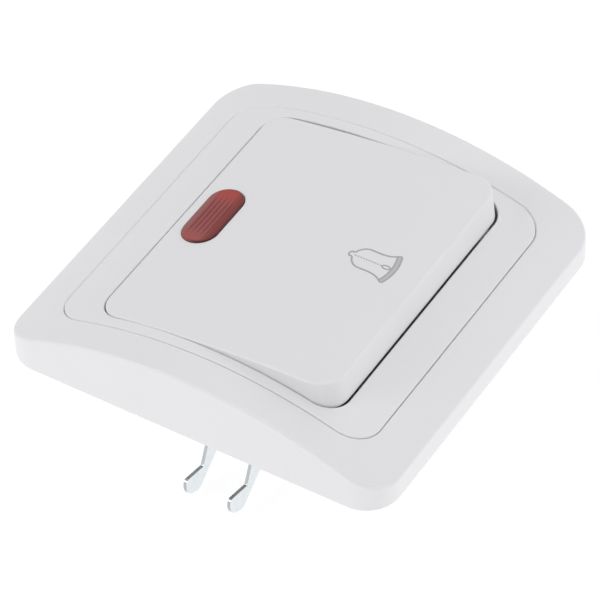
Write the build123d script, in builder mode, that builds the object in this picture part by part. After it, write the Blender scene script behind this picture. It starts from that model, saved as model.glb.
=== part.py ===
from build123d import *

import os
from math import cos, radians, sin, sqrt, tan

# Flush-mounted doorbell push button: a wide rocker key in an arched frame, over a claw-fixed mechanism.
# Millimetres. The wall is the plane Z = 0, +Z points out of the wall and +Y points up the wall.

os.makedirs("parts", exist_ok=True)

# Clearances
running_clearance = 0.05  # radial, on pivots, pegs and shanks
seat_gap = 0.2  # around a piece that drops into a slot
moving_gap = 0.3  # between pieces that move past each other

# Mounting plate and its box screws
screw_spacing = 60.0
screw_slot_width = 3.6
screw_slot_length = 6.6
screw_slot_to_edge = 5.5  # from a slot's centre to the plate's edge
plate_thickness = 1.0
plate_corner_radius = 5.0
plate_window_rim = 1.4  # metal left around the pieces that stand up through the plate

# Outer frame
plate_room = 3.5  # between the plate's edge and the frame's inner wall
frame_wall = 2.0
frame_extra_height = 1.0  # how much taller than wide the frame is
frame_corner_radius = 7.0
frame_edge_height = 4.8  # height of the front at the top and bottom edges
frame_rise = 10.1  # how far the front arches up between them
frame_edge_round = 0.6
frame_lip_round = 0.35  # of the edge around the bezel
frame_side_strip = 7.0  # visible width of the frame beside the bezel
frame_end_strip = 7.5  # visible width of the frame above and below the bezel
ledge_reach = 2.2  # how far the frame reaches under the bezel's ends
ledge_thickness = 1.5
ledge_root = 1.5

# Inner bezel
bezel_groove = 0.06
bezel_corner_radius = 6.0
bezel_thickness = 1.8
bezel_wall = 1.5
bezel_side_strip = 2.5  # visible width beside the rocker
bezel_top_strip = 8.05
bezel_bottom_strip = 7.3
bezel_skirt_lift = 2.0  # from the plate's front to the skirt's lower edge
bezel_edge_round = 0.25
opening_corner_radius = 5.0
leg_width = 6.0
leg_thickness = 1.6
leg_spread = 36.0  # between the two legs of one end
leg_inset = 4.95  # from the bezel's end to the middle of a leg
hook_reach = 0.8
hook_length = 2.0

# Rocker key, which rests with its lower end raised and lies level when pressed
rocker_tilt = 5.7
pivot_depth = 7.9  # of the pivot below the frame's crown
rocker_rise = 0.7  # of the key's face above the frame's crown
rocker_arch = 1.14
rocker_face = 2.0
rocker_wall = 1.6
rocker_skirt = 1.2  # of the key's lower edge above the pivot
rocker_edge_round = 0.5
rocker_side_gap = 0.28
rocker_side_shift = 0.18  # of the key to the left, within its side gaps
rocker_top_gap = 0.55  # at rest
rocker_bottom_gap = 0.08  # with the key pressed
key_top_corner_radius = 4.3
key_bottom_corner_radius = 5.0
clip_width = 8.0
clip_thickness = 1.3
clip_hook = 0.7
clip_hook_height = 0.9
clip_clear = 0.1
pad_width = 1.2

# Indicator lens
lens_length = 16.4
lens_width = 7.8
lens_wall_gap = 0.2  # between the lens's flange and the key's top wall
lens_proud = 0.35
lens_clear = 0.1
lens_edge_round = 0.3
lens_flange = 0.3
lens_flange_thickness = 0.8
groove_count = 5
groove_pitch = 1.0
groove_width = 0.7
groove_depth = 0.12  # at the middle of its length, running out to nothing at the ends
groove_end = 1.6  # from the end of the lens to the end of a groove

# Rocker cradle
cradle_width = 19.0
cradle_top_reach = 11.0
cradle_thickness = 2.0
cradle_lift = 2.0  # of its underside above the pivot
cheek_thickness = 1.6
cheek_length = 7.0
trunnion_radius = 2.0
trunnion_length = 3.3
post_gap = 0.4
post_thickness = 3.2
post_length = 7.0
post_cap = 2.6  # of the post above the pivot

# Base housing
base_width = 33.0
base_height = 42.0
base_depth = 26.0
base_wall = 1.8
base_floor = 2.0
base_corner_radius = 2.0
base_back_round = 0.8
chamber_depth = 10.0
chamber_corner_radius = 1.0
terminal_roof = 3.0  # plastic between the chamber and the terminal compartments
terminal_length = 12.5  # of a compartment, up the wall
terminal_rib = 1.8  # between the two compartments
rivet_inset = 2.85  # from the base's sides to a rivet
rivet_radius = 1.2
rivet_head_radius = 2.2
rivet_head_height = 0.9
rivet_head_round = 0.6
rivet_length = 7.0
rivet_boss_radius = 2.6

# Claws and their screws
claw_side_gap = 0.25  # between the base's side and a claw
claw_spread = 26.3  # outward lean of a claw as drawn
claw_width = 10.5
claw_thickness = 0.7
claw_shank_width = 4.6
claw_shank_length = 19.9
claw_foot_reach = 7.95
claw_foot_drop = 1.3
claw_foot_depth = 5.0
claw_sole_start = 1.9
claw_heel_rise = 8.2
claw_toe_round = 0.7
claw_heel_round = 1.5
claw_hinge_depth = 4.2
claw_hinge_radius = 1.3
claw_web_reach = 7.2
claw_web_tail = 1.2
claw_ear_drop = 1.4
claw_web_lift = 1.0  # of the web's front above the hinge
claw_lug_thickness = 2.6
claw_lug_margin = 2.6  # of a lug beyond the hinge's middle
claw_screw_lever = 4.0  # from the hinge to the screw
claw_screw_radius = 1.5
claw_screw_length = 10.0
claw_screw_head_radius = 2.6
claw_screw_head_height = 1.9
claw_screw_play = 0.2
claw_screw_slot_play = 1.0  # extra length of the web's slot, for the claw's swing
drive_width = 0.7
drive_depth = 0.9

# Contacts and terminals
terminal_x = 7.6
strip_thickness = 0.8
strip_width = 8.0
strip_length = 7.1
riser_width = 5.0
riser_inset = 4.4  # of the riser from the base's lower side
contact_reach = 12.0  # of the contacts below the pivot
contact_radius = 1.6
contact_height = 0.8
contact_gap_left = 0.1  # that stays between the contacts at full travel
leaf_thickness = 0.6
leaf_width = 3.0
leaf_side_margin = 0.2
leaf_peg_radius = 0.9
leaf_peg_length = 1.1
clamp_width = 7.6
clamp_length = 6.4
clamp_thickness = 1.1
clamp_flange = 1.2
wire_room = 2.4  # between the clamp and the strip
terminal_screw_radius = 1.5
terminal_screw_head_radius = 2.9
terminal_screw_head_height = 2.0
terminal_screw_tip = 2.0  # of the screw's end in the roof

# Return spring
spring_reach = 5.5  # below the pivot
spring_radius = 2.4
spring_wire = 0.35
spring_turns = 7
spring_seat_depth = 5.0
spring_seat_radius = 3.2
spring_peg_radius = 1.7
spring_peg_height = 3.0
spring_top_gap = 0.05

# Indicator lamp
lamp_wall_gap = 2.6  # between the lamp and the upper wall of the chamber
lamp_height = 3.5
lamp_radius = 2.1
lamp_length = 11.0
lamp_end_round = 1.2
lamp_rib_spacing = 7.2
lamp_rib_thickness = 1.2
lamp_rib_margin = 0.4
lamp_groove_depth = 1.5
stop_length = 2.0
stop_gap = 0.15
lead_radius = 0.3
lead_bend = 1.5
lead_post_gap = 0.6
lead_depth = 8.0
resistor_radius = 1.2
resistor_length = 6.5
resistor_post_gap = 0.5

# Sizes that follow
plate_size = screw_spacing + 2 * screw_slot_to_edge
frame_width = plate_size + 2 * (plate_room + frame_wall)
frame_height = frame_width + frame_extra_height
crown_height = frame_edge_height + frame_rise
arch_radius = ((frame_height / 2) ** 2 + frame_rise**2) / (2 * frame_rise)
arch_axis_height = crown_height - arch_radius

aperture_width = frame_width - 2 * frame_side_strip
aperture_height = frame_height - 2 * frame_end_strip
bezel_width = aperture_width - 2 * bezel_groove
bezel_height = aperture_height - 2 * bezel_groove
opening_width = aperture_width - 2 * bezel_side_strip
opening_top = aperture_height / 2 - bezel_top_strip
opening_bottom = -aperture_height / 2 + bezel_bottom_strip
opening_height = opening_top - opening_bottom
opening_middle = (opening_top + opening_bottom) / 2
leg_y = bezel_height / 2 - leg_inset

pivot_height = crown_height - pivot_depth
tilt = radians(rocker_tilt)
tilted_up = (0, sin(tilt), cos(tilt))
cradle_plane = Plane((0, 0, pivot_height), x_dir=(1, 0, 0), z_dir=tilted_up)
cradle_side = Plane(cradle_plane.origin, x_dir=cradle_plane.y_dir, z_dir=cradle_plane.x_dir)
key_plane = Plane((-rocker_side_shift, 0, pivot_height), x_dir=(1, 0, 0), z_dir=tilted_up)
key_side = Plane(key_plane.origin, x_dir=key_plane.y_dir, z_dir=key_plane.x_dir)
key_width = opening_width - 2 * rocker_side_gap
key_crown = (pivot_depth + rocker_rise) * cos(tilt)
key_edge = key_crown - rocker_arch
key_top = (opening_top - rocker_top_gap) / cos(tilt) - key_edge * tan(tilt)
key_bottom = opening_bottom + rocker_bottom_gap
key_length = key_top - key_bottom
key_middle = (key_top + key_bottom) / 2
key_arch_radius = ((key_length / 2) ** 2 + rocker_arch**2) / (2 * rocker_arch)
lens_top = key_top - rocker_wall - lens_wall_gap - lens_flange
lens_y = lens_top - lens_width / 2
groove_length = lens_length - 2 * groove_end
groove_radius = ((groove_width / 2) ** 2 + groove_depth**2) / (2 * groove_depth)
groove_end_radius = groove_radius - groove_depth * (lens_length / groove_length) ** 2
cradle_top = cradle_lift + cradle_thickness
cradle_bottom_reach = contact_reach + leaf_width / 2 + moving_gap + clip_hook
cradle_middle = (cradle_top_reach - cradle_bottom_reach) / 2
cradle_length = cradle_top_reach + cradle_bottom_reach
leaf_underside = cradle_lift - leaf_thickness

post_inner = cradle_width / 2 + post_gap
post_outer = post_inner + post_thickness
chamber_width = base_width - 2 * base_wall
chamber_height = base_height - 2 * base_wall
deep_floor = -(base_depth - base_floor)
terminal_top = -base_height / 2 + terminal_length  # upper wall of the terminal compartments
terminal_ceiling = -(chamber_depth + terminal_roof)
rivet_x = base_width / 2 - rivet_inset
rivet_y = base_height / 2 - rivet_inset
lamp_y = chamber_height / 2 - lamp_wall_gap - lamp_radius
lead_x = post_inner - lead_post_gap - lead_radius
resistor_bottom = post_length / 2 + resistor_post_gap
resistor_top = resistor_bottom + resistor_length

hinge_x = base_width / 2 + claw_side_gap + claw_shank_width / 2
claw_screw_x = hinge_x + claw_screw_lever
claw_leg_y = (claw_width - claw_thickness) / 2
lug_inner = claw_width / 2 + moving_gap
lug_middle = lug_inner + claw_lug_thickness / 2

riser_y = -base_height / 2 + riser_inset
pressed_tip = pivot_height + leaf_underside - contact_height  # with the key pressed level
fixed_contact_top = pressed_tip - contact_gap_left
tab_top = fixed_contact_top - contact_height
terminal_screw_y = riser_y + strip_length / 2
spring_y = -spring_reach * cos(tilt)
spring_top = (
    pivot_height
    + (spring_reach - spring_radius - spring_wire) * sin(tilt)
    + cradle_lift * cos(tilt)
    - spring_top_gap
)
stop_y = cradle_top_reach - clip_hook - 2 * moving_gap - stop_length / 2
stop_height = pivot_height - stop_y * tan(tilt) + cradle_lift / cos(tilt) - stop_gap
both_sides = (-1, 1)
side_names = {-1: "left", 1: "right"}


def arch_height(y):
    """Height of the arched front at a distance y from the middle."""
    return arch_axis_height + sqrt(arch_radius**2 - y**2)


def key_face_height(y):
    """Height of the key's face above its pivot plane, y up along the key."""
    return key_crown - key_arch_radius + sqrt(key_arch_radius**2 - (y - key_middle) ** 2)


def save(piece, label):
    """Label a finished piece and write it to its own file."""
    piece.part.label = label
    export_step(piece.part, f"parts/{label}.step")


def arched_block(width, height, corner_radius, drop, floor=0.0, middle=0.0):
    """A rounded block on the plane Z = floor whose front follows the arch, lowered by drop."""
    with BuildPart() as block:
        with BuildSketch(Plane.XY.offset(floor)):
            with Locations((0, middle)):
                RectangleRounded(width, height, corner_radius)
        extrude(amount=crown_height - drop - floor)
        with Locations(Location((0, 0, arch_axis_height), (0, 90, 0))):
            Cylinder(arch_radius - drop, width, mode=Mode.INTERSECT)
    return block.part


def key_block(inset, drop):
    """A block with the key's outline, inset all round, its face on the key's arch, lowered by drop."""
    with BuildPart(key_plane) as block:
        with BuildSketch(key_plane.offset(rocker_skirt)) as outline:
            with Locations((0, key_middle)):
                Rectangle(key_width - 2 * inset, key_length - 2 * inset)
            fillet(outline.vertices().group_by(Axis.Y)[-1], key_top_corner_radius - inset)
            fillet(outline.vertices().group_by(Axis.Y)[0], key_bottom_corner_radius - inset)
        extrude(amount=key_crown - rocker_skirt)
        with Locations(Location((0, key_middle, key_crown - key_arch_radius), (0, 90, 0))):
            Cylinder(key_arch_radius - drop, key_width, mode=Mode.INTERSECT)
    return block.part


def lens_block(grow, drop):
    """A block with the lens's outline, grown all round, its face on the key's arch, lowered by drop."""
    with BuildPart(key_plane) as block:
        with BuildSketch(key_plane):
            with Locations((0, lens_y)):
                SlotOverall(lens_length + 2 * grow, lens_width + 2 * grow)
        extrude(amount=2 * key_crown)
        with Locations(Location((0, key_middle, key_crown - key_arch_radius), (0, 90, 0))):
            Cylinder(key_arch_radius - drop, key_width, mode=Mode.INTERSECT)
    return block.part


def wire(points):
    """A round lead along straight runs joined by bends."""
    with BuildPart() as lead:
        with BuildLine() as path:
            if len(points) > 2:
                FilletPolyline(*points, radius=lead_bend)
            else:
                Line(*points)
        with BuildSketch(Plane(path.line @ 0, z_dir=path.line % 0)):
            Circle(lead_radius)
        sweep()
    return lead


# Outer frame: an arched shell with a seat for the bezel
frame_shell = arched_block(frame_width, frame_height, frame_corner_radius, 0)
frame_hollow = arched_block(
    frame_width - 2 * frame_wall,
    frame_height - 2 * frame_wall,
    frame_corner_radius - frame_wall,
    frame_wall,
)
ledge_outline = (
    aperture_width + 2 * ledge_root,
    aperture_height + 2 * ledge_root,
    bezel_corner_radius + ledge_root,
)
ledge_front = arched_block(*ledge_outline, bezel_thickness)
ledge_back = arched_block(*ledge_outline, bezel_thickness + ledge_thickness)

with BuildPart() as bezel_ledge:
    add(ledge_front)
    add(ledge_back, mode=Mode.SUBTRACT)
    with BuildSketch():
        RectangleRounded(aperture_width, aperture_height - 2 * ledge_reach, bezel_corner_radius)
    extrude(amount=crown_height, mode=Mode.SUBTRACT)

with BuildPart() as outer_frame:
    add(frame_shell)
    fillet(outer_frame.faces().sort_by(Axis.Z)[-1].edges(), frame_edge_round)
    add(frame_hollow, mode=Mode.SUBTRACT)
    with BuildSketch():
        RectangleRounded(aperture_width, aperture_height, bezel_corner_radius)
    extrude(amount=crown_height, mode=Mode.SUBTRACT)
    frame_front = outer_frame.faces().sort_by(Axis.Z)[-1]
    fillet(frame_front.inner_wires().edges(), frame_lip_round)
    add(bezel_ledge.part)
save(outer_frame, "outer_frame")

# Inner bezel: an arched ring with a skirt round the key's opening and four snap legs
bezel_outline = (bezel_width, bezel_height, bezel_corner_radius - bezel_groove)
bezel_front = arched_block(*bezel_outline, 0)
bezel_back = arched_block(*bezel_outline, bezel_thickness)
bezel_skirt = arched_block(
    opening_width + 2 * bezel_wall,
    opening_height + 2 * bezel_wall,
    opening_corner_radius + bezel_wall,
    bezel_thickness / 2,
    floor=plate_thickness + bezel_skirt_lift,
    middle=opening_middle,
)

with BuildPart() as inner_bezel:
    add(bezel_front)
    add(bezel_back, mode=Mode.SUBTRACT)
    add(bezel_skirt)
    with BuildSketch():
        with Locations((0, opening_middle)):
            RectangleRounded(opening_width, opening_height, opening_corner_radius)
    extrude(amount=crown_height, mode=Mode.SUBTRACT)
    fillet(inner_bezel.faces().sort_by(Axis.Z)[-1].edges(), bezel_edge_round)
    for side in both_sides:
        for end in both_sides:
            inner_y = end * (leg_y - leg_thickness / 2)
            outer_y = end * (leg_y + leg_thickness / 2)
            hook_y = outer_y + end * hook_reach
            leg_root = arch_height(leg_y) - bezel_thickness
            with BuildSketch(Plane.YZ.offset(side * leg_spread / 2)):
                with BuildLine():
                    Polyline(
                        (inner_y, leg_root),
                        (outer_y, leg_root),
                        (outer_y, -seat_gap),
                        (hook_y, -seat_gap),
                        (outer_y, -hook_length),
                        (inner_y, -hook_length),
                        close=True,
                    )
                make_face()
            extrude(amount=leg_width / 2, both=True)
save(inner_bezel, "inner_bezel")

# Mounting plate: a steel square with slots for the box screws and windows for the mechanism
post_window = 2 * (post_outer + seat_gap)
post_window_height = post_length + 2 * plate_window_rim
window_width = 2 * (rivet_x - rivet_radius - plate_window_rim)
window_height = 2 * (rivet_y - rivet_radius + seat_gap)

with BuildPart() as mounting_plate:
    with BuildSketch():
        RectangleRounded(plate_size, plate_size, plate_corner_radius)
        Rectangle(post_window, post_window_height, mode=Mode.SUBTRACT)
        Rectangle(window_width, window_height, mode=Mode.SUBTRACT)
        with GridLocations(screw_spacing, 0, 2, 1):
            SlotOverall(screw_slot_length, screw_slot_width, mode=Mode.SUBTRACT)
        with GridLocations(0, screw_spacing, 1, 2):
            SlotOverall(screw_slot_length, screw_slot_width, rotation=90, mode=Mode.SUBTRACT)
        with GridLocations(leg_spread, 2 * leg_y, 2, 2):
            Rectangle(leg_width + 2 * seat_gap, leg_thickness + 2 * seat_gap, mode=Mode.SUBTRACT)
        with GridLocations(2 * rivet_x, 2 * rivet_y, 2, 2):
            Circle(rivet_radius + running_clearance, mode=Mode.SUBTRACT)
        with GridLocations(2 * claw_screw_x, 0, 2, 1):
            Circle(claw_screw_radius + claw_screw_play, mode=Mode.SUBTRACT)
    extrude(amount=plate_thickness)
save(mounting_plate, "mounting_plate")

# Base housing: the mechanism's chamber in front, terminal compartments behind, claw lugs at the sides
compartment_width = base_width / 2 - base_wall - terminal_rib / 2
compartment_x = (terminal_rib + compartment_width) / 2
deep_bottom = terminal_top + base_wall
deep_length = chamber_height / 2 - deep_bottom
lug_length = claw_side_gap + claw_shank_width / 2 + claw_lug_margin + base_wall
lamp_rib_bottom = stop_y - stop_length / 2
lamp_rib_step = stop_y + stop_length / 2
lamp_rib_top = lamp_y + lamp_radius + lamp_rib_margin
lamp_rib_height = lamp_height - lamp_radius + lamp_groove_depth

with BuildPart() as base_housing:
    with BuildSketch(Plane.XY.offset(-base_depth)):
        RectangleRounded(base_width, base_height, base_corner_radius)
    extrude(amount=base_depth)
    fillet(base_housing.faces().sort_by(Axis.Z)[0].edges(), base_back_round)
    with BuildSketch():
        RectangleRounded(chamber_width, chamber_height, chamber_corner_radius)
    extrude(amount=-chamber_depth, mode=Mode.SUBTRACT)
    with BuildSketch():
        with Locations((0, deep_bottom + deep_length / 2)):
            RectangleRounded(chamber_width, deep_length, chamber_corner_radius)
    extrude(amount=deep_floor, mode=Mode.SUBTRACT)
    with BuildSketch(Plane.XY.offset(-base_depth)):
        with GridLocations(2 * compartment_x, 0, 2, 1):
            with Locations((0, terminal_top - terminal_length)):
                Rectangle(compartment_width, 2 * terminal_length)
    extrude(amount=base_depth + terminal_ceiling, mode=Mode.SUBTRACT)
    # pivot posts, joined to the side walls below the plate
    for side in both_sides:
        with BuildSketch(Plane.XY.offset(-chamber_depth)):
            with Locations((side * (post_inner + post_thickness / 2), 0)):
                Rectangle(post_thickness, post_length)
        extrude(amount=chamber_depth + pivot_height + post_cap)
        with BuildSketch(Plane.XY.offset(deep_floor)):
            with Locations((side * (post_inner + base_width / 2 - base_wall) / 2, 0)):
                Rectangle(base_width / 2 - base_wall - post_inner, post_length)
        extrude(amount=-deep_floor)
    with BuildSketch(Plane.YZ):
        with Locations((0, pivot_height)):
            Circle(trunnion_radius + running_clearance)
    extrude(amount=post_outer, both=True, mode=Mode.SUBTRACT)
    # corner bosses for the rivets
    with BuildSketch():
        with GridLocations(2 * rivet_x, 2 * rivet_y, 2, 2):
            Circle(rivet_boss_radius)
        RectangleRounded(base_width, base_height, base_corner_radius, mode=Mode.INTERSECT)
    extrude(amount=-chamber_depth)
    with BuildSketch():
        with GridLocations(2 * rivet_x, 2 * rivet_y, 2, 2):
            Circle(rivet_radius + running_clearance)
    extrude(amount=-(rivet_length + seat_gap), mode=Mode.SUBTRACT)
    # spring seat with its centring peg
    with BuildSketch(Plane.XY.offset(deep_floor)):
        with Locations((0, spring_y)):
            Circle(spring_seat_radius)
    extrude(amount=-deep_floor - spring_seat_depth)
    with BuildSketch(Plane.XY.offset(-spring_seat_depth)):
        with Locations((0, spring_y)):
            Circle(spring_peg_radius)
    extrude(amount=spring_peg_height)
    # lamp ribs, each with a stop for the cradle
    for side in both_sides:
        with BuildSketch(Plane.YZ.offset(side * lamp_rib_spacing / 2)):
            with BuildLine():
                Polyline(
                    (lamp_rib_bottom, deep_floor),
                    (lamp_rib_bottom, stop_height),
                    (lamp_rib_step, stop_height),
                    (lamp_rib_step, lamp_rib_height),
                    (lamp_rib_top, lamp_rib_height),
                    (lamp_rib_top, deep_floor),
                    close=True,
                )
            make_face()
            with Locations((lamp_y, lamp_height)):
                Circle(lamp_radius + running_clearance, mode=Mode.SUBTRACT)
        extrude(amount=lamp_rib_thickness / 2, both=True)
    # claw lugs
    for side in both_sides:
        lug_x = side * (base_width / 2 - base_wall + lug_length / 2)
        with BuildSketch():
            with Locations((lug_x, lug_middle), (lug_x, -lug_middle)):
                Rectangle(lug_length, claw_lug_thickness)
        extrude(amount=-(claw_hinge_depth + claw_lug_margin))
        with BuildSketch(Plane.XZ):
            with Locations((side * hinge_x, -claw_hinge_depth)):
                Circle(claw_hinge_radius + running_clearance)
        extrude(amount=lug_inner + claw_lug_thickness, both=True, mode=Mode.SUBTRACT)
        # terminal: slot for the riser and hole for the screw's end
        with BuildSketch(Plane.XY.offset(terminal_ceiling)):
            with Locations((side * terminal_x, riser_y)):
                Rectangle(riser_width + 2 * seat_gap, strip_thickness + 2 * seat_gap)
        extrude(amount=terminal_roof, mode=Mode.SUBTRACT)
        with BuildSketch(Plane.XY.offset(terminal_ceiling)):
            with Locations((side * terminal_x, terminal_screw_y)):
                Circle(terminal_screw_radius + seat_gap)
        extrude(amount=terminal_screw_tip + seat_gap, mode=Mode.SUBTRACT)
save(base_housing, "base_housing")

# Rivets that hold the base to the plate
for row, row_name in ((1, "upper"), (-1, "lower")):
    for side in both_sides:
        with BuildPart() as rivet:
            with BuildSketch(Plane.XY.offset(-rivet_length)):
                with Locations((side * rivet_x, row * rivet_y)):
                    Circle(rivet_radius)
            extrude(amount=rivet_length + plate_thickness)
            with BuildSketch(Plane.XY.offset(plate_thickness)):
                with Locations((side * rivet_x, row * rivet_y)):
                    Circle(rivet_head_radius)
            extrude(amount=rivet_head_height)
            fillet(rivet.edges().sort_by(Axis.Z)[-1], rivet_head_round)
        save(rivet, f"rivet_{row_name}_{side_names[side]}")

# Rocker key: an arched, tilted cap with a window for the lens and clips for the cradle
key_shell = key_block(0, 0)
key_hollow = key_block(rocker_wall, rocker_face)
lens_window = lens_block(0, -lens_proud)
rib_root = key_crown - (rocker_face + rocker_arch) / 2  # inside the key's face

with BuildPart() as rocker_key:
    add(key_shell)
    fillet(rocker_key.faces().sort_by(Axis.Z)[-1].edges(), rocker_edge_round)
    add(key_hollow, mode=Mode.SUBTRACT)
    add(lens_window, mode=Mode.SUBTRACT)
    # pads that rest on the cradle
    with BuildSketch(key_plane.offset(cradle_top)):
        with Locations((0, cradle_middle)):
            Rectangle(cradle_width - 2 * pad_width, cradle_length - 2 * pad_width)
            Rectangle(cradle_width - 4 * pad_width, cradle_length - 4 * pad_width, mode=Mode.SUBTRACT)
    extrude(amount=rib_root - cradle_top)
    # clips that hook under the cradle's ends
    for end, reach in ((1, cradle_top_reach), (-1, cradle_bottom_reach)):
        clip_inner = end * (reach + clip_clear)
        clip_outer = clip_inner + end * clip_thickness
        hook_tip = clip_inner - end * clip_hook
        hook_top = cradle_lift - clip_clear
        hook_bottom = hook_top - clip_hook_height
        with BuildSketch(key_side):
            with BuildLine():
                Polyline(
                    (clip_outer, rib_root),
                    (clip_inner, rib_root),
                    (clip_inner, hook_top),
                    (hook_tip, hook_top),
                    (clip_inner, hook_bottom),
                    (clip_outer, hook_bottom),
                    close=True,
                )
            make_face()
        extrude(amount=clip_width / 2, both=True)
save(rocker_key, "rocker_key")

# Indicator lens: a stadium with shallow flutes, held behind the key's face by a flange
lens_body = lens_block(-lens_clear, -lens_proud)
lens_lower = lens_block(lens_flange, rocker_face + lens_flange_thickness)
lens_flange_front = lens_block(lens_flange, rocker_face)

with BuildPart() as indicator_lens:
    add(lens_body)
    fillet(indicator_lens.faces().sort_by(Axis.Z)[-1].edges(), lens_edge_round)
    add(lens_flange_front)
    add(lens_lower, mode=Mode.SUBTRACT)
    for row in range(groove_count):
        groove_y = lens_y + (row - (groove_count - 1) / 2) * groove_pitch
        groove_floor = key_face_height(groove_y) + lens_proud - groove_depth
        groove_centre = key_plane.from_local_coords((0, groove_y, groove_floor + groove_radius))
        groove_section = Plane(groove_centre, x_dir=key_plane.x_dir, z_dir=key_plane.y_dir)
        with BuildSketch(groove_section):
            with BuildLine():
                groove_line = ThreePointArc(
                    (lens_length / 2, groove_end_radius),
                    (0, groove_radius),
                    (-lens_length / 2, groove_end_radius),
                )
                Polyline(groove_line @ 1, (-lens_length / 2, 0), (lens_length / 2, 0), groove_line @ 0)
            make_face()
        revolve(axis=Axis(groove_centre, key_plane.x_dir), mode=Mode.SUBTRACT)
save(indicator_lens, "indicator_lens")

# Rocker cradle: carries the key on two trunnions
with BuildPart() as rocker_cradle:
    with BuildSketch(cradle_plane.offset(cradle_lift)):
        with Locations((0, cradle_middle)):
            Rectangle(cradle_width, cradle_length)
    extrude(amount=cradle_thickness)
    for side in both_sides:
        with BuildSketch(cradle_side.offset(side * cradle_width / 2)):
            with BuildLine():
                Line((-cheek_length / 2, cradle_lift), (-trunnion_radius, 0))
                RadiusArc((-trunnion_radius, 0), (trunnion_radius, 0), -trunnion_radius)
                Line((trunnion_radius, 0), (cheek_length / 2, cradle_lift))
                Line((cheek_length / 2, cradle_lift), (-cheek_length / 2, cradle_lift))
            make_face()
        extrude(amount=-side * cheek_thickness)
        with BuildSketch(cradle_side.offset(side * cradle_width / 2)):
            Circle(trunnion_radius)
        extrude(amount=side * trunnion_length)
    with BuildSketch(cradle_plane.offset(cradle_lift)):
        with Locations((0, -contact_reach)):
            Circle(leaf_peg_radius)
    extrude(amount=-leaf_peg_length)
    with BuildSketch(cradle_plane.offset(cradle_lift)):
        with Locations((0, -spring_reach)):
            Circle(spring_peg_radius)
    extrude(amount=-spring_peg_height)
save(rocker_cradle, "rocker_cradle")

# Contact leaf on the cradle, with a tip over each terminal
with BuildPart() as contact_leaf:
    with BuildSketch(cradle_plane.offset(leaf_underside)):
        with Locations((0, -contact_reach)):
            Rectangle(cradle_width - 2 * leaf_side_margin, leaf_width)
            Circle(leaf_peg_radius + running_clearance, mode=Mode.SUBTRACT)
    extrude(amount=leaf_thickness)
save(contact_leaf, "contact_leaf")

for side in both_sides:
    with BuildPart() as moving_tip:
        with BuildSketch(cradle_plane.offset(leaf_underside)):
            with Locations((side * terminal_x, -contact_reach)):
                Circle(contact_radius)
        extrude(amount=-contact_height)
    save(moving_tip, f"moving_contact_{side_names[side]}")

# Terminals: a brass strip with its riser and contact tab, a contact tip, a clamp and a screw
clamp_front = terminal_ceiling - strip_thickness - wire_room
clamp_back = clamp_front - clamp_thickness
for side in both_sides:
    terminal_plane = Plane.YZ.offset(side * terminal_x)
    riser_back = riser_y - strip_thickness / 2
    riser_front = riser_y + strip_thickness / 2
    tab_end = -contact_reach + contact_radius + moving_gap
    with BuildPart() as terminal:
        with BuildSketch(Plane.XY.offset(terminal_ceiling)):
            with Locations((side * terminal_x, riser_back + strip_length / 2)):
                Rectangle(strip_width, strip_length)
            with Locations((side * terminal_x, terminal_screw_y)):
                Circle(terminal_screw_radius + running_clearance, mode=Mode.SUBTRACT)
        extrude(amount=-strip_thickness)
        with BuildSketch(terminal_plane):
            with BuildLine():
                Polyline(
                    (riser_back, terminal_ceiling - strip_thickness),
                    (riser_back, tab_top),
                    (tab_end, tab_top),
                    (tab_end, tab_top - strip_thickness),
                    (riser_front, tab_top - strip_thickness),
                    (riser_front, terminal_ceiling - strip_thickness),
                    close=True,
                )
            make_face()
        extrude(amount=riser_width / 2, both=True)
    save(terminal, f"terminal_{side_names[side]}")

    with BuildPart() as fixed_tip:
        with BuildSketch(Plane.XY.offset(tab_top)):
            with Locations((side * terminal_x, -contact_reach)):
                Circle(contact_radius)
        extrude(amount=contact_height)
    save(fixed_tip, f"fixed_contact_{side_names[side]}")

    with BuildPart() as clamp:
        with BuildSketch(Plane.XY.offset(clamp_back)):
            with Locations((side * terminal_x, terminal_screw_y)):
                Rectangle(clamp_width, clamp_length)
        extrude(amount=clamp_thickness + clamp_flange)
        with BuildSketch(Plane.XY.offset(clamp_front)):
            with Locations((side * terminal_x, terminal_screw_y)):
                Rectangle(clamp_width - 2 * clamp_thickness, clamp_length)
        extrude(amount=clamp_flange, mode=Mode.SUBTRACT)
        with BuildSketch(Plane.XY.offset(clamp_back)):
            with Locations((side * terminal_x, terminal_screw_y)):
                Circle(terminal_screw_radius + running_clearance)
        extrude(amount=clamp_thickness, mode=Mode.SUBTRACT)
    save(clamp, f"terminal_clamp_{side_names[side]}")

    screw_place = Plane((side * terminal_x, terminal_screw_y, clamp_back))
    with BuildPart() as terminal_screw:
        with BuildSketch(screw_place):
            Circle(terminal_screw_radius)
        extrude(amount=terminal_ceiling + terminal_screw_tip - clamp_back)
        with BuildSketch(screw_place):
            Circle(terminal_screw_head_radius)
        extrude(amount=-terminal_screw_head_height)
        fillet(terminal_screw.edges().sort_by(Axis.Z)[0], drive_width / 2)
        with BuildSketch(screw_place.offset(-terminal_screw_head_height)):
            Rectangle(2 * terminal_screw_head_radius, drive_width)
        extrude(amount=drive_depth, mode=Mode.SUBTRACT)
    save(terminal_screw, f"terminal_screw_{side_names[side]}")

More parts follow.
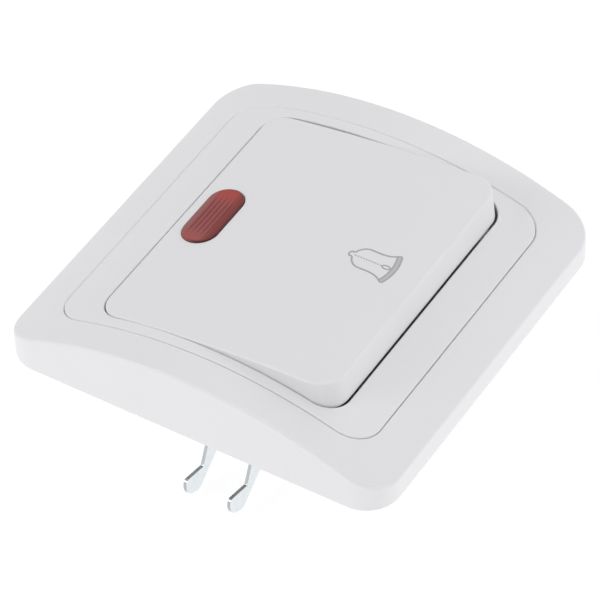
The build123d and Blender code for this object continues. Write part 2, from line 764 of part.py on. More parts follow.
# Claws: a web with two legs, hinged on the base's lugs, and the screws that swing them out
lean = radians(claw_spread)
for side in both_sides:
    hinge = (side * hinge_x, 0, -claw_hinge_depth)
    shank_plane = Plane(hinge, x_dir=(side * cos(lean), 0, sin(lean)), z_dir=(0, -side, 0))
    level_plane = Plane(hinge, x_dir=(side, 0, 0), z_dir=(0, -side, 0))
    half_shank = claw_shank_width / 2
    kink = (half_shank, -claw_shank_length)
    toe = (claw_foot_reach, -claw_shank_length - claw_foot_drop)
    sole_level = -claw_shank_length - claw_foot_depth
    toe_radius = claw_foot_depth - claw_foot_drop
    sole_end = (claw_foot_reach - toe_radius, sole_level)
    with BuildPart() as claw:
        for leg in both_sides:
            with BuildSketch(shank_plane.offset(leg * claw_leg_y)) as leg_outline:
                with BuildLine():
                    Line((half_shank, 0), kink)
                    Line(kink, toe)
                    TangentArc(sole_end, toe, tangent=(1, 0))
                    Line(sole_end, (claw_sole_start, sole_level))
                    Line((claw_sole_start, sole_level), (-half_shank, sole_level + claw_heel_rise))
                    Line((-half_shank, sole_level + claw_heel_rise), (-half_shank, 0))
                    ThreePointArc((-half_shank, 0), (0, half_shank), (half_shank, 0))
                make_face()
                fillet(leg_outline.vertices().sort_by(Axis.X)[-1], claw_toe_round)
                heel = leg_outline.vertices().sort_by_distance((claw_sole_start, sole_level))[0]
                fillet(heel, claw_heel_round)
            extrude(amount=claw_thickness / 2, both=True)
            with BuildSketch(level_plane.offset(leg * claw_leg_y)):
                with Locations((0, -claw_ear_drop)):
                    Rectangle(claw_web_reach, claw_ear_drop + claw_web_lift, align=(Align.MIN, Align.MIN))
            extrude(amount=claw_thickness / 2, both=True)
            with BuildSketch(level_plane.offset(leg * claw_width / 2)):
                Circle(claw_hinge_radius)
            extrude(amount=leg * (moving_gap + claw_lug_thickness / 2))
        with BuildSketch(level_plane):
            with Locations((-claw_web_tail, claw_web_lift)):
                Rectangle(claw_web_reach + claw_web_tail, claw_thickness, align=(Align.MIN, Align.MAX))
        extrude(amount=claw_width / 2, both=True)
        with BuildSketch(Plane.XY.offset(-claw_hinge_depth)):
            with Locations((side * claw_screw_x, 0)):
                SlotOverall(
                    2 * (claw_screw_radius + claw_screw_play) + claw_screw_slot_play,
                    2 * (claw_screw_radius + claw_screw_play),
                )
        extrude(amount=claw_hinge_depth, both=True, mode=Mode.SUBTRACT)
    save(claw, f"claw_{side_names[side]}")

    screw_place = Plane((side * claw_screw_x, 0, plate_thickness))
    with BuildPart() as claw_screw:
        with BuildSketch(screw_place):
            Circle(claw_screw_radius)
        extrude(amount=-claw_screw_length)
        with BuildSketch(screw_place):
            Circle(claw_screw_head_radius)
        extrude(amount=claw_screw_head_height)
        fillet(claw_screw.edges().sort_by(Axis.Z)[-1], claw_screw_head_height / 2)
        with BuildSketch(screw_place.offset(claw_screw_head_height)):
            Rectangle(claw_screw_head_radius, drive_width)
            Rectangle(drive_width, claw_screw_head_radius)
        extrude(amount=-drive_depth, mode=Mode.SUBTRACT)
    save(claw_screw, f"claw_screw_{side_names[side]}")

# Return spring under the cradle's lower half
spring_height = spring_top + spring_seat_depth - 2 * spring_wire
with BuildPart() as return_spring:
    with BuildLine() as coil:
        Helix(
            spring_height / spring_turns,
            spring_height,
            spring_radius,
            center=(0, spring_y, -spring_seat_depth + spring_wire),
        )
    with BuildSketch(Plane(coil.line @ 0, z_dir=coil.line % 0)):
        Circle(spring_wire)
    sweep()
save(return_spring, "return_spring")

# Indicator lamp with its leads and resistor
with BuildPart() as neon_lamp:
    with BuildSketch(Plane.YZ):
        with Locations((lamp_y, lamp_height)):
            Circle(lamp_radius)
    extrude(amount=lamp_length / 2, both=True)
    fillet(neon_lamp.edges().filter_by(GeomType.CIRCLE), lamp_end_round)
save(neon_lamp, "neon_lamp")

riser_face = riser_y + strip_thickness / 2
lead_left = wire(
    [
        (-lamp_length / 2, lamp_y, lamp_height),
        (-lead_x, lamp_y, lamp_height),
        (-lead_x, lamp_y, -lead_depth),
        (-lead_x, riser_face, -lead_depth),
    ]
)
save(lead_left, "lamp_lead_left")
lead_right = wire(
    [
        (lamp_length / 2, lamp_y, lamp_height),
        (lead_x, lamp_y, lamp_height),
        (lead_x, lamp_y, -lead_depth),
        (lead_x, resistor_top, -lead_depth),
    ]
)
save(lead_right, "lamp_lead_right")
resistor_lead = wire([(lead_x, resistor_bottom, -lead_depth), (lead_x, riser_face, -lead_depth)])
save(resistor_lead, "resistor_lead")

with BuildPart() as lamp_resistor:
    with BuildSketch(Plane.XZ.offset(-resistor_top)):
        with Locations((lead_x, -lead_depth)):
            Circle(resistor_radius)
    extrude(amount=resistor_length)
    fillet(lamp_resistor.edges().filter_by(GeomType.CIRCLE), resistor_radius / 2)
save(lamp_resistor, "lamp_resistor")
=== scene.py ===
import bpy
import numpy as np
from mathutils import Matrix, Vector


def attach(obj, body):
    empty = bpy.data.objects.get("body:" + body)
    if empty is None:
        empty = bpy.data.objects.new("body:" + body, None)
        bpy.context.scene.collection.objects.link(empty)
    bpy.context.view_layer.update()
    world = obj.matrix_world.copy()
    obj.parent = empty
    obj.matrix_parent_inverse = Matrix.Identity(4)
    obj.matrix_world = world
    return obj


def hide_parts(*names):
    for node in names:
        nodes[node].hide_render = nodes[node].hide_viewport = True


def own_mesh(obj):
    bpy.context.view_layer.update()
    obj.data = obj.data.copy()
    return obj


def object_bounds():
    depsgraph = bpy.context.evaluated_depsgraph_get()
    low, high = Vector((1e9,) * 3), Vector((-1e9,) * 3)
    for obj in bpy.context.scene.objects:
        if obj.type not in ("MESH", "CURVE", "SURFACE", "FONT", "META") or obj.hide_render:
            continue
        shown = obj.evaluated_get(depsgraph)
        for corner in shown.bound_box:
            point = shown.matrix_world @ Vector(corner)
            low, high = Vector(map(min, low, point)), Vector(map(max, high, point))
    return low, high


# Doorbell push button: moulded white frame and key, red lens, zinc-plated claws, on a pale floor.

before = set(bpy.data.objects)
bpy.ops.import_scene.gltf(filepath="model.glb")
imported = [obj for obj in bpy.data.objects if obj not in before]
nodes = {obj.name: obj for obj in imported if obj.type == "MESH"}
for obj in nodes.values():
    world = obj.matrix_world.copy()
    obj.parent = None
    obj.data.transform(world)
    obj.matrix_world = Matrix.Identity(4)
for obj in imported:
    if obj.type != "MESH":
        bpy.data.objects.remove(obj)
cad_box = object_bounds()
mm = 0.001

# The key's face: pivot, tilt and arch, as the solids have them, in mm
key_pivot_height = 7.0
key_tilt = np.radians(5.7)
key_crown = 8.5575
key_middle = -0.9171
key_arch_radius = 290.32

# The lens in the key: a stadium with flutes along it, in mm
lens_centre = (-0.18, 19.51)  # across and up the wall
lens_half_width = 3.9
lens_half_straight = 4.3
flute_pitch = 0.988

# The claws' legs: sheet on both sides of the middle, in mm
leg_offset = 4.9
leg_half_core = 0.33


class Value:
    """A shader socket. Operators on it add Math nodes to its tree."""

    def __init__(self, tree, socket):
        self.tree = tree
        self.socket = socket

    def math(self, operation, *others):
        inputs = dict(enumerate((self, *others)))
        return self.tree.node("ShaderNodeMath", {"operation": operation}, inputs)[0]

    def __add__(self, other):
        return self.math("ADD", other)

    def __sub__(self, other):
        return self.math("SUBTRACT", other)

    def __rsub__(self, other):
        return self.math("MULTIPLY_ADD", -1.0, other)

    def __mul__(self, other):
        return self.math("MULTIPLY", other)

    def __truediv__(self, other):
        return self.math("DIVIDE", other)

    def __gt__(self, other):
        return self.math("GREATER_THAN", other)

    def __lt__(self, other):
        return self.math("LESS_THAN", other)

    __radd__ = __add__
    __rmul__ = __mul__


class Tree:
    """A node tree whose nodes all come from one method."""

    def __init__(self, owner):
        owner.use_nodes = True
        self.nodes = owner.node_tree.nodes
        self.links = owner.node_tree.links

    def node(self, kind, settings=None, inputs=None):
        """Add a node: its settings are set first, then the values or links of its sockets."""
        made = self.nodes.new(kind)
        for key, value in (settings or {}).items():
            setattr(made, key, value)
        for key, value in (inputs or {}).items():
            self.feed(made.inputs[key], value)
        return [Value(self, socket) for socket in made.outputs]

    def feed(self, socket, value):
        """Link a value to a socket, or set the socket to a plain number or colour."""
        if isinstance(value, Value):
            self.links.new(value.socket, socket)
        else:
            socket.default_value = value


class Finish(Tree):
    """A material around one Principled shader, patterned in Object coordinates."""

    def __init__(self, name, **constants):
        self.material = bpy.data.materials.new(name)
        super().__init__(self.material)
        self.shader = self.nodes["Principled BSDF"]
        for socket, value in constants.items():
            self.shader.inputs[socket.replace("_", " ")].default_value = value
        self.place = self.node("ShaderNodeTexCoord")[3]

    def vary(self, **values):
        """Give the shader's sockets values that change over the surface."""
        for socket, value in values.items():
            self.feed(self.shader.inputs[socket.replace("_", " ")], value)

    def moved(self, centre=(0, 0, 0), scale=(1, 1, 1)):
        """Object coordinates scaled about a centre, which is in metres."""
        location = tuple(-c * s for c, s in zip(centre, scale))
        inputs = {"Vector": self.place, "Location": location, "Scale": scale}
        return self.node("ShaderNodeMapping", {}, inputs)[0]

    def axes(self, centre=(0, 0, 0)):
        """Distances from a centre along X, Y and Z, in metres."""
        return self.node("ShaderNodeSeparateXYZ", {}, {"Vector": self.moved(centre)})

    def noise(self, size, detail=2.0, stretch=(1, 1, 1)):
        """Noise from 0 to 1 with grains of about size metres, longer where stretch is below 1."""
        point = self.moved(scale=tuple(s / size for s in stretch))
        return self.node("ShaderNodeTexNoise", {}, {"Vector": point, "Scale": 1.0, "Detail": detail})[0]

    def spread(self, value, low, high):
        """A value that runs from 0 to 1, stretched to run from low to high."""
        return value * (high - low) + low

    def ramp(self, value, start, end):
        """0 at start and 1 at end, which may lie below start, with a smooth step between."""
        inputs = {"Value": value, "From Min": start, "From Max": end}
        return self.node("ShaderNodeMapRange", {"interpolation_type": "SMOOTHSTEP"}, inputs)[0]

    def blend(self, share, first, second):
        """A colour that goes from first to second as share goes from 0 to 1."""
        return self.node("ShaderNodeMix", {"data_type": "RGBA"}, {0: share, 6: first, 7: second})[2]

    def relief(self, height, depth, strength):
        """Surface relief of depth metres for a height of 1."""
        inputs = {"Strength": strength, "Distance": depth, "Height": height}
        self.vary(Normal=self.node("ShaderNodeBump", {}, inputs)[0])


def shade(red, green, blue):
    """A colour given as display values from 0 to 255, in linear light."""
    share = np.array((red, green, blue)) / 255
    linear = np.where(share <= 0.04045, share / 12.92, ((share + 0.055) / 1.055) ** 2.4)
    return (*linear.tolist(), 1.0)


def moulded_white(name, colour, roughness, grain_depth):
    """White moulded plastic: a faint drift of tone, a satin gloss that varies and a fine tool grain."""
    finish = Finish(name, IOR=1.5)
    tone_drift = 0.012
    pale = tuple(min(1.0, c * (1 + tone_drift)) for c in colour[:3]) + (1.0,)
    deep = tuple(c * (1 - tone_drift) for c in colour[:3]) + (1.0,)
    drift = finish.noise(14 * mm, 3.0)
    gloss = finish.noise(2.5 * mm, 4.0)
    grain = finish.noise(0.22 * mm)
    finish.vary(
        Base_Color=finish.blend(drift, deep, pale),
        Roughness=finish.spread(gloss, roughness - 0.05, roughness + 0.05),
    )
    finish.relief(grain, grain_depth, 0.6)
    return finish.material


def lens_red():
    """Red polycarbonate over a dark cup, with light and shade painted into its colour: painted shade towards
    its lower edge, painted pale light above, clearer red at its right end, painted shade along its flutes and
    painted shade on the lower part of its rim. The rim is where the distance from the stadium's middle line
    nears half its width."""
    finish = Finish("red_lens_plastic", IOR=1.5, Specular_IOR_Level=0.3)
    x, y, _ = finish.axes((lens_centre[0] * mm, lens_centre[1] * mm, 0))
    from_middle = x.math("ABSOLUTE")
    across = y / (lens_half_width * mm)
    past_end = (from_middle - lens_half_straight * mm).math("MAXIMUM", 0.0)
    from_line = (past_end * past_end + y * y).math("SQRT")
    # Painted shade along the flutes, standing in for the shading of their grooves.
    flutes = (y * (2 * np.pi / (flute_pitch * mm))).math("COSINE") * 0.5 + 0.5
    run_out = finish.ramp(from_middle, 4.0 * mm, 6.8 * mm)
    fluted = (1 - run_out) * (across.math("ABSOLUTE") < 0.66)
    right_end = finish.ramp(x, 2.5 * mm, 6.5 * mm)
    # Painted shade towards the lower edge and painted pale light towards the upper edge.
    lower_edge_shade = finish.ramp(across, -0.25, -0.75)
    upper_edge_light = finish.ramp(across, 0.5, 0.9)
    # Painted shade on the lower part of the rim.
    lower_rim_shade = finish.ramp(from_line, 3.2 * mm, 3.75 * mm) * finish.ramp(across, 0.3, -0.15)
    colour = finish.blend(finish.noise(3.0 * mm, 3.0), shade(149, 65, 63), shade(156, 72, 69))
    colour = finish.blend(flutes * fluted, colour, shade(118, 47, 48))
    colour = finish.blend(right_end, colour, shade(161, 54, 48))
    colour = finish.blend(lower_edge_shade, colour, shade(120, 28, 24))
    colour = finish.blend(upper_edge_light, colour, shade(140, 88, 88))
    finish.vary(
        Base_Color=finish.blend(lower_rim_shade, colour, shade(78, 20, 18)),
        Roughness=finish.spread(finish.noise(0.8 * mm, 3.0), 0.16, 0.28),
    )
    return finish.material


def grey_moulding():
    """Grey thermoset base: matt, spark-eroded grain and faint flow marks."""
    finish = Finish("grey_base_plastic", IOR=1.5)
    flow = finish.noise(6 * mm, 4.0, (1, 0.4, 1))
    gloss = finish.noise(0.6 * mm, 3.0)
    grain = finish.noise(0.16 * mm)
    finish.vary(
        Base_Color=finish.blend(flow, shade(182, 184, 186), shade(198, 199, 201)),
        Roughness=finish.spread(gloss, 0.45, 0.62),
    )
    finish.relief(grain, 0.012 * mm, 0.6)
    return finish.material


def plated_metal(name, dark, bright, roughness, streak=(1, 1, 1), dull_edges=False):
    """Plated or plain metal: a cloudy tone, rolling streaks and small scratches in the gloss.
    With dull_edges, the core of the claws' legs, which shows on the sheet's cut edges, is duller."""
    finish = Finish(name, Metallic=1.0)
    cloud = finish.noise(1.6 * mm, 4.0)
    streaks = finish.noise(0.3 * mm, 3.0, streak)
    colour = finish.blend(cloud, dark, bright)
    if dull_edges:
        off_core = (finish.axes()[1].math("ABSOLUTE") - leg_offset * mm).math("ABSOLUTE")
        colour = finish.blend(off_core < leg_half_core * mm, colour, shade(186, 188, 189))
    finish.vary(
        Base_Color=colour,
        Roughness=finish.spread(streaks, roughness - 0.08, roughness + 0.1),
    )
    finish.relief(streaks, 0.004 * mm, 0.5)
    return finish.material


def lamp_glass():
    """Clear glass envelope with faint drawing waves."""
    finish = Finish("lamp_glass", IOR=1.5, Transmission_Weight=0.92)
    wave = finish.noise(1.5 * mm, 2.0, (0.3, 1, 1))
    finish.vary(
        Base_Color=finish.blend(wave, shade(236, 228, 220), shade(250, 245, 240)),
        Roughness=finish.spread(wave, 0.02, 0.06),
    )
    return finish.material


def resistor_coat():
    """Lacquered resistor: a beige coat with four colour rings along Y."""
    finish = Finish("resistor_lacquer", IOR=1.5)
    y = finish.axes()[1]
    ring_half = 0.35
    rings = ((5.1, (96, 52, 28)), (6.3, (24, 24, 24)), (7.5, (196, 160, 30)), (9.3, (168, 128, 52)))
    colour = finish.blend(finish.noise(0.8 * mm), shade(198, 172, 128), shade(212, 188, 146))
    for middle, ring in rings:
        inside = (y > (middle - ring_half) * mm) * (y < (middle + ring_half) * mm)
        colour = finish.blend(inside, colour, shade(*ring))
    finish.vary(Base_Color=colour, Roughness=finish.spread(finish.noise(0.5 * mm), 0.3, 0.42))
    return finish.material


def symbol_ink(name, dark, pale):
    """Grey pad-printing ink, a little uneven."""
    finish = Finish(name, IOR=1.45)
    patch = finish.noise(0.35 * mm, 3.0)
    finish.vary(
        Base_Color=finish.blend(patch, dark, pale),
        Roughness=finish.spread(patch, 0.5, 0.65),
    )
    return finish.material


def smooth_line(points, steps=12):
    """A Catmull-Rom line through points: on each span, the cubic of the four points around it."""
    p = np.asarray(points, float)
    padded = np.vstack((2 * p[0] - p[1], p, 2 * p[-1] - p[-2]))
    at = np.linspace(0, len(p) - 1, (len(p) - 1) * steps + 1)
    span = np.minimum(at.astype(int), len(p) - 2)
    t = (at - span)[:, None]
    a, b, c, d = (padded[span + k] for k in range(4))
    return 0.5 * (2 * b + (c - a) * t + (2 * a - 5 * b + 4 * c - d) * t**2 + (3 * b - a - 3 * c + d) * t**3)


def on_key_face(flat, lift):
    """Points of the key's face, from (x, y) along the key in mm: the face's height is the arch's circle
    about the key's middle, lifted by lift, and the whole is tilted about the pivot. In metres."""
    x, y = flat[..., 0], flat[..., 1]
    height = key_crown - key_arch_radius + np.sqrt(key_arch_radius**2 - (y - key_middle) ** 2) + lift
    up = y * np.cos(key_tilt) + height * np.sin(key_tilt)
    out = key_pivot_height - y * np.sin(key_tilt) + height * np.cos(key_tilt)
    return np.stack((x, up, out), -1) * mm


def joined(index):
    """Four-sided faces between neighbouring rings of points. Each ring is a row of point numbers, closed."""
    ahead = np.roll(index, -1, axis=1)
    return np.stack((index[:-1], ahead[:-1], ahead[1:], index[1:]), -1).reshape(-1, 4)


def with_flat_ends(index):
    """Groups of faces for a row of rings: the sides, and one face across each end."""
    return [joined(index), index[:1, ::-1], index[-1:]]


def printed_stroke(line, width, sunk=-0.02, proud=0.03):
    """A stroke of ink: a flat box profile, width across, carried along a line on the key's face, in mm."""
    along = np.gradient(line, axis=0)
    along /= np.linalg.norm(along, axis=1)[:, None]
    left = np.stack((-along[:, 1], along[:, 0]), -1) * width / 2
    corners = (
        on_key_face(line + left, sunk),
        on_key_face(line + left, proud),
        on_key_face(line - left, proud),
        on_key_face(line - left, sunk),
    )
    index = np.arange(len(line) * len(corners)).reshape(-1, len(corners))
    return np.stack(corners, 1).reshape(-1, 3), with_flat_ends(index)


def threaded_screw(middle):
    """A screw under its domed head: rings about its upright axis, joined and closed by a point at both ends.
    Up the shank the radius is the outside one less the thread's depth times a flattened triangle wave of the
    height over the pitch less the turn, and the tip is chamfered. The head's edge is a quarter round, and the
    recess's outline is the farther side of its two crossed bars. The middle is across the wall, in mm."""
    turn = np.arange(screw_columns) * 2 * np.pi / screw_columns
    level = np.arange(screw_tip, thread_end, thread_pitch / rings_per_pitch)
    phase = level[:, None] / thread_pitch - turn / (2 * np.pi)
    wave = np.abs(2 * (phase - np.floor(phase)) - 1)
    groove = np.clip((1 + 2 * thread_flat) * wave - thread_flat, 0, 1)
    groove = groove * np.clip((thread_end - level) / thread_pitch, 0, 1)[:, None]
    chamfer = (screw_radius - thread_depth + level - screw_tip)[:, None]
    shank = np.minimum(screw_radius - thread_depth * groove, chamfer)
    bend = np.linspace(0, np.pi / 2, head_rings)
    head = head_radius - head_round * (1 - np.cos(bend))
    head_levels = head_top - head_round + head_round * np.sin(bend)
    across = np.maximum(np.abs((np.cos(turn), np.sin(turn))), 1e-9)
    bars = [np.minimum(recess_length / a, recess_width / b) / 2 for a, b in (across, across[::-1])]
    outline = np.maximum(*bars)
    round_part = np.concatenate(((screw_radius, screw_radius, head_radius), head))
    radius = np.vstack((shank, np.tile(round_part[:, None], screw_columns), outline, outline))
    recess_floor = head_top - recess_depth
    neck = (thread_end, head_foot, head_foot)
    levels = np.concatenate((level, neck, head_levels, (head_top, recess_floor)))
    height = np.tile(levels[:, None], screw_columns)
    rings = np.stack((middle + radius * np.cos(turn), radius * np.sin(turn), height), -1).reshape(-1, 3)
    points = np.vstack(((middle, 0, screw_tip), rings, (middle, 0, recess_floor)))
    index = 1 + np.arange(len(rings)).reshape(-1, screw_columns)
    first, last = index[0], index[-1]
    tip = np.stack((np.zeros_like(first), np.roll(first, -1), first), -1)
    floor_of_recess = np.stack((last, np.roll(last, -1), np.full_like(last, len(points) - 1)), -1)
    return points * mm, [joined(index), tip, floor_of_recess]


def wire_coil():
    """A coil of round wire: rings of points about a helix's points, each ring across the helix's tangent,
    with the ends closed. The helix climbs evenly with its turn."""
    turn = np.linspace(0, 2 * np.pi * spring_turns, spring_turns * rings_per_turn + 1)
    zero = np.zeros_like(turn)
    climb = (spring_top - spring_foot - 2 * wire_radius) / turn[-1]
    outward = np.stack((np.cos(turn), np.sin(turn), zero), -1)
    along = np.stack((-np.sin(turn), np.cos(turn), zero + climb / spring_radius), -1)
    along /= np.linalg.norm(along, axis=1)[:, None]
    upward = np.cross(along, outward)
    axis = np.stack((zero, zero + spring_up, spring_foot + wire_radius + climb * turn), -1)
    helix = axis + spring_radius * outward
    about = (np.arange(wire_columns) * 2 * np.pi / wire_columns)[:, None]
    ring = np.cos(about) * outward[:, None] + np.sin(about) * upward[:, None]
    points = helix[:, None] + wire_radius * ring
    index = np.arange(len(turn) * wire_columns).reshape(-1, wire_columns)
    return points.reshape(-1, 3) * mm, with_flat_ends(index)


def make_piece(name, surfaces, material, body):
    """One mesh of several surfaces, each with its points and its groups of faces, riding on a body."""
    starts = np.cumsum([0] + [len(points) for points, _ in surfaces])
    faces = []
    for (_, groups), start in zip(surfaces, starts):
        for group in groups:
            faces += (group + start).tolist()
    mesh = bpy.data.meshes.new(name)
    mesh.from_pydata(np.vstack([points for points, _ in surfaces]).tolist(), [], faces)
    mesh.materials.append(material)
    piece = bpy.data.objects.new(name, mesh)
    bpy.context.scene.collection.objects.link(piece)
    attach(piece, body)
    return piece


# Finishes of the CAD nodes
rolled_along_x = (0.15, 1, 1)
rolled_along_y = (1, 0.2, 1)
white_frame = moulded_white("white_frame_plastic", shade(229, 229, 231), 0.4, 0.006 * mm)
white_key = moulded_white("white_key_plastic", shade(228, 228, 230), 0.34, 0.004 * mm)
white_cradle = moulded_white("white_cradle_plastic", shade(216, 216, 214), 0.48, 0.01 * mm)
zinc = plated_metal("zinc_plate", shade(216, 225, 233), shade(240, 246, 251), 0.26, rolled_along_x)
claw_zinc = plated_metal("claw_zinc", shade(219, 226, 229), shade(238, 243, 244), 0.26, rolled_along_x, True)
brass = plated_metal("brass", shade(196, 158, 88), shade(224, 190, 120), 0.3, rolled_along_y)
silver = plated_metal("contact_silver", shade(206, 204, 200), shade(232, 231, 228), 0.24)
spring_steel = plated_metal("spring_wire", shade(150, 152, 156), shade(186, 188, 192), 0.28)
tinned = plated_metal("tinned_lead", shade(186, 184, 178), shade(214, 213, 208), 0.34)

finishes = {
    "outer_frame": white_frame,
    "inner_bezel": white_frame,
    "rocker_key": white_key,
    "rocker_cradle": white_cradle,
    "indicator_lens": lens_red(),
    "base_housing": grey_moulding(),
    "mounting_plate": zinc,
    "contact_leaf": brass,
    "neon_lamp": lamp_glass(),
    "lamp_lead_left": tinned,
    "lamp_lead_right": tinned,
    "resistor_lead": tinned,
    "lamp_resistor": resistor_coat(),
}
for side in ("left", "right"):
    finishes[f"claw_{side}"] = claw_zinc
    finishes[f"terminal_{side}"] = brass
    finishes[f"terminal_clamp_{side}"] = zinc
    finishes[f"terminal_screw_{side}"] = zinc
    finishes[f"moving_contact_{side}"] = silver
    finishes[f"fixed_contact_{side}"] = silver
    finishes[f"rivet_upper_{side}"] = zinc
    finishes[f"rivet_lower_{side}"] = zinc
for name, material in finishes.items():
    nodes[name].data.materials.clear()
    nodes[name].data.materials.append(material)

# Claw screws, threaded below the plate, in mm
claw_screw_middle = 23.05
screw_columns = 48
screw_radius = 1.5
screw_tip = -9.0
thread_pitch = 0.5
thread_depth = 0.3
thread_flat = 0.2  # share of the wave that is cut off at its crest and its root
thread_end = -0.4
rings_per_pitch = 10
head_foot = 1.0
head_top = 2.9
head_radius = 2.6
head_round = 0.95
head_rings = 6
recess_length = 2.6
recess_width = 0.7
recess_depth = 0.9
for side, sign in (("left", -1), ("right", 1)):
    surface = threaded_screw(sign * claw_screw_middle)
    screw = make_piece(f"threaded_screw_{side}", [surface], zinc, f"claw_screw_{side}_body")
    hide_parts(f"claw_screw_{side}")

# Return spring, pressed shorter by the cradle, in mm
spring_up = -5.473
spring_foot = -5.0
spring_top = 9.213
spring_radius = 2.4
spring_turns = 7
rings_per_turn = 48
wire_radius = 0.35
wire_columns = 12
coil = make_piece("coil_spring", [wire_coil()], spring_steel, "mechanism")
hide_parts("return_spring")
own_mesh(coil)

# Printed bell symbol: half of its outline, mirrored, and leaning a little as printed, in mm
bell_foot = np.array((0.88, -20.3))
bell_lean = 0.0435
ink_width = 0.36
band_width = 0.9
band_proud = 0.02
clapper_width = 0.3
clapper_steps = 3
dash_starts = np.arange(2.3, 8.2, 0.62)
dash_length = 0.4
dash_width = 0.22
half_outline = [
    (0.62, 8.5), (1.2, 8.25), (1.75, 7.85), (2.3, 7.2), (2.6, 6.3), (2.63, 5.2),
    (2.6, 4.0), (2.68, 3.0), (2.9, 2.0), (3.35, 1.05), (3.8, 0.35), (3.72, -0.05),
]
lip = [(x, -0.78 + 0.0515 * x**2) for x in np.linspace(-3.72, 3.72, 9)]
band = [(x, -0.3 + 0.053 * x**2) for x in np.linspace(-3.5, 3.5, 9)]
knob_turn = np.linspace(-0.25 * np.pi, 1.25 * np.pi, 9)
knob = np.stack((0.62 * np.cos(knob_turn), 8.95 + 0.5 * np.sin(knob_turn)), -1)
clapper_turn = np.linspace(0.5 * np.pi, 2.5 * np.pi, 25)
clapper = np.stack((0.44 * np.cos(clapper_turn), 1.3 + 0.86 * np.sin(clapper_turn)), -1)


def bell_line(points):
    """Symbol points, across and up from its foot, leaning with the print and placed on the key, in mm."""
    p = np.asarray(points, float)
    return bell_foot + np.stack((p[:, 0] + bell_lean * p[:, 1], p[:, 1]), -1)


mirrored = [(-x, y) for x, y in half_outline]
inner_lip = [(x, y + band_width / 2) for x, y in band]
outlines = (half_outline, mirrored, lip, inner_lip, knob)
strokes = [printed_stroke(smooth_line(bell_line(p)), ink_width) for p in outlines]
strokes.append(printed_stroke(smooth_line(bell_line(clapper), clapper_steps), clapper_width))
for start in dash_starts:
    dash = [(0, start), (0, start + dash_length / 2), (0, start + dash_length)]
    strokes.append(printed_stroke(bell_line(dash), dash_width))
band_stroke = printed_stroke(smooth_line(bell_line(band)), band_width, proud=band_proud)
line_ink = symbol_ink("symbol_line_ink", shade(160, 160, 163), shade(180, 180, 183))
band_ink = symbol_ink("symbol_band_ink", shade(184, 184, 187), shade(196, 196, 199))
make_piece("bell_lines", strokes, line_ink, "rocker")
make_piece("bell_band", [band_stroke], band_ink, "rocker")

# Floor: pale and matt, seen as white with the object's shadow kept, and see-through from below
floor_size = 6.0
floor_gap = 0.0002
floor_tone = (0.92, 0.92, 0.92, 1)
floor_glow = 1.24
floor_white = 1.06
floor_glow_share = 0.88
floor_height = cad_box[0].z - floor_gap
floor_mesh = bpy.data.meshes.new("floor")
floor_corners = np.array([(-1, -1), (1, -1), (1, 1), (-1, 1)]) * floor_size / 2
floor_mesh.from_pydata([(x, y, floor_height) for x, y in floor_corners], [], [(0, 1, 2, 3)])
floor = bpy.data.objects.new("floor", floor_mesh)
bpy.context.scene.collection.objects.link(floor)


def seen_directly(tree):
    """1 for a ray from the camera, a reflection or glass, and 0 for light on its way between surfaces."""
    path = tree.node("ShaderNodeLightPath")
    names = [value.socket.name for value in path]
    camera, glossy, through = (
        path[names.index(n)] for n in ("Is Camera Ray", "Is Glossy Ray", "Is Transmission Ray")
    )
    return camera.math("MAXIMUM", glossy).math("MAXIMUM", through)


floor_material = bpy.data.materials.new("pale_floor")
floor_mesh.materials.append(floor_material)
floor_tree = Tree(floor_material)
floor_tree.nodes.clear()
matt = floor_tree.node("ShaderNodeBsdfDiffuse", {}, {"Color": floor_tone})[0]
floor_level = seen_directly(floor_tree) * (floor_white - floor_glow) + floor_glow
white = floor_tree.node("ShaderNodeEmission", {}, {"Color": (1, 1, 1, 1), "Strength": floor_level})[0]
clear = floor_tree.node("ShaderNodeBsdfTransparent")[0]
lit = floor_tree.node("ShaderNodeMixShader", {}, {0: floor_glow_share, 1: matt, 2: white})[0]
below = floor_tree.node("ShaderNodeNewGeometry")[6]
whole = floor_tree.node("ShaderNodeMixShader", {}, {0: below, 1: lit, 2: clear})[0]
floor_tree.node("ShaderNodeOutputMaterial", {}, {0: whole})

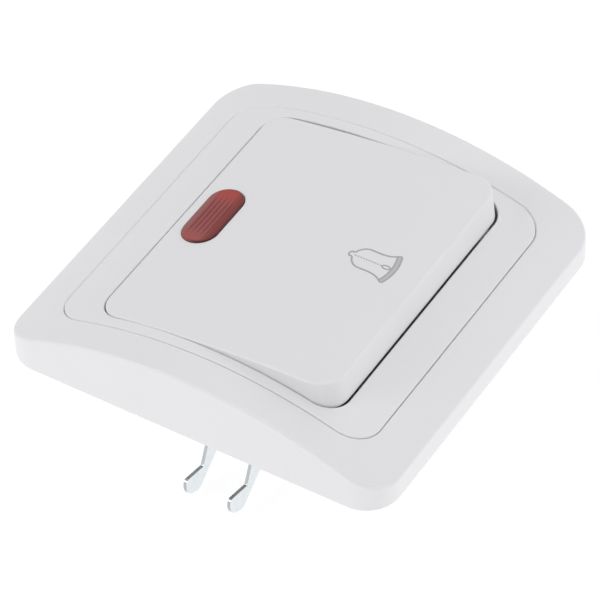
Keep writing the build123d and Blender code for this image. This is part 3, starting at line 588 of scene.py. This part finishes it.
# World: white where it is seen, a soft even fill elsewhere
ambient = 0.327
world = bpy.data.worlds.new("studio")
bpy.context.scene.world = world
world_tree = Tree(world)
world_tree.nodes.clear()
world_level = seen_directly(world_tree) * (1.0 - ambient) + ambient
sky = world_tree.node("ShaderNodeBackground", {}, {"Color": (1, 1, 1, 1), "Strength": world_level})[0]
world_tree.node("ShaderNodeOutputWorld", {}, {0: sky})


def softbox(name, azimuth, elevation, power, size, distance=1.2):
    """A square lamp, aimed at the object from an azimuth (0 is -Y, 90 is +X) and an elevation in degrees."""
    a, e = np.radians((azimuth, elevation))
    back = Vector((np.sin(a) * np.cos(e), -np.cos(a) * np.cos(e), np.sin(e)))
    lamp = bpy.data.lights.new(name, "AREA")
    lamp.energy = power
    lamp.size = size
    box = bpy.data.objects.new(name, lamp)
    box.location = back * distance
    box.rotation_mode = "QUATERNION"
    box.rotation_quaternion = back.to_track_quat("Z", "Y")
    bpy.context.scene.collection.objects.link(box)


softbox("back_left_softbox", -127, 29, 4.5, 0.5)
softbox("top_softbox", 0, 88, 4.1, 0.9)
softbox("front_softbox", 0, 5, 4.8, 0.9)
softbox("right_softbox", 90, 30, 2.2, 0.9)
softbox("front_right_softbox", 42, 22, 1.3, 0.4)
softbox("back_right_softbox", 135, 40, 0.65, 0.9)
softbox("left_softbox", -90, 15, 0.3, 0.9)

# Camera: its right, down and forward directions and its place
camera_right = Vector((0.52324606, -0.85163876, -0.03041349))
camera_down = Vector((-0.61588953, -0.3532539, -0.70419583))
camera_forward = Vector((0.58897678, 0.38719905, -0.70935411))
camera_place = Vector((-448.509, -294.161, 539.836)) * mm
camera_data = bpy.data.cameras.new("camera")
camera_data.sensor_width = 36.0
camera_data.lens = 239.963
camera_data.clip_start = 0.01
camera_data.clip_end = 20.0
camera = bpy.data.objects.new("camera", camera_data)
bpy.context.scene.collection.objects.link(camera)
camera_turn = Matrix((camera_right, -camera_down, -camera_forward)).transposed()
camera.matrix_world = Matrix.Translation(camera_place) @ camera_turn.to_4x4()
bpy.context.scene.camera = camera
bpy.context.scene.view_settings.view_transform = "Standard"
